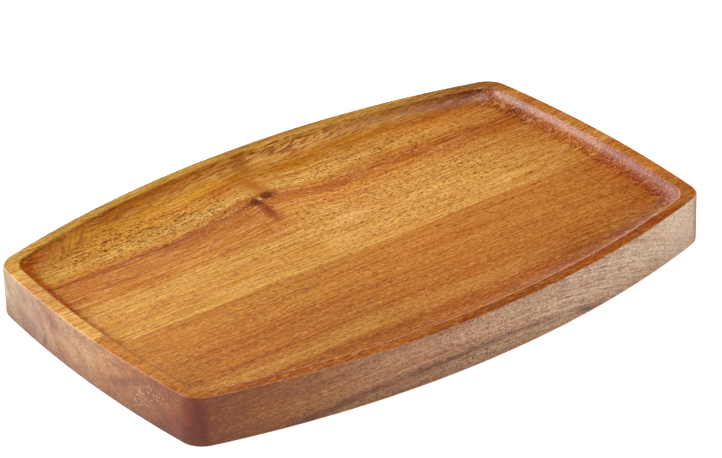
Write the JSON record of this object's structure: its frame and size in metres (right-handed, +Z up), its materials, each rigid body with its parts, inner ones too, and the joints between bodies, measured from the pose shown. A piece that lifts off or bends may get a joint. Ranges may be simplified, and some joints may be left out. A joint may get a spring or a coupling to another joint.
{
  "type": "serving board",
  "caption": "Wooden serving board of edge-glued staves, with bowed sides and ends, round corners and a shallow recess with a coved wall inside a narrow raised rim.",
  "frame": {"origin": "centre of the underside, on the surface that the board lies on", "axes": "+X along the length and the grain, +Y across the width towards the wider stave, +Z up"},
  "size_m": [0.3, 0.2, 0.025],
  "materials": {
    "golden_acacia": "sanded and oiled, satin",
    "russet_acacia": "sanded and oiled, satin",
    "dried_glue": "dried wood glue, matte"
  },
  "bodies": {
    "root": {"rear_stave": "golden_acacia", "front_stave": "russet_acacia", "glue_line": "dried_glue"}
  },
  "joints": []
}
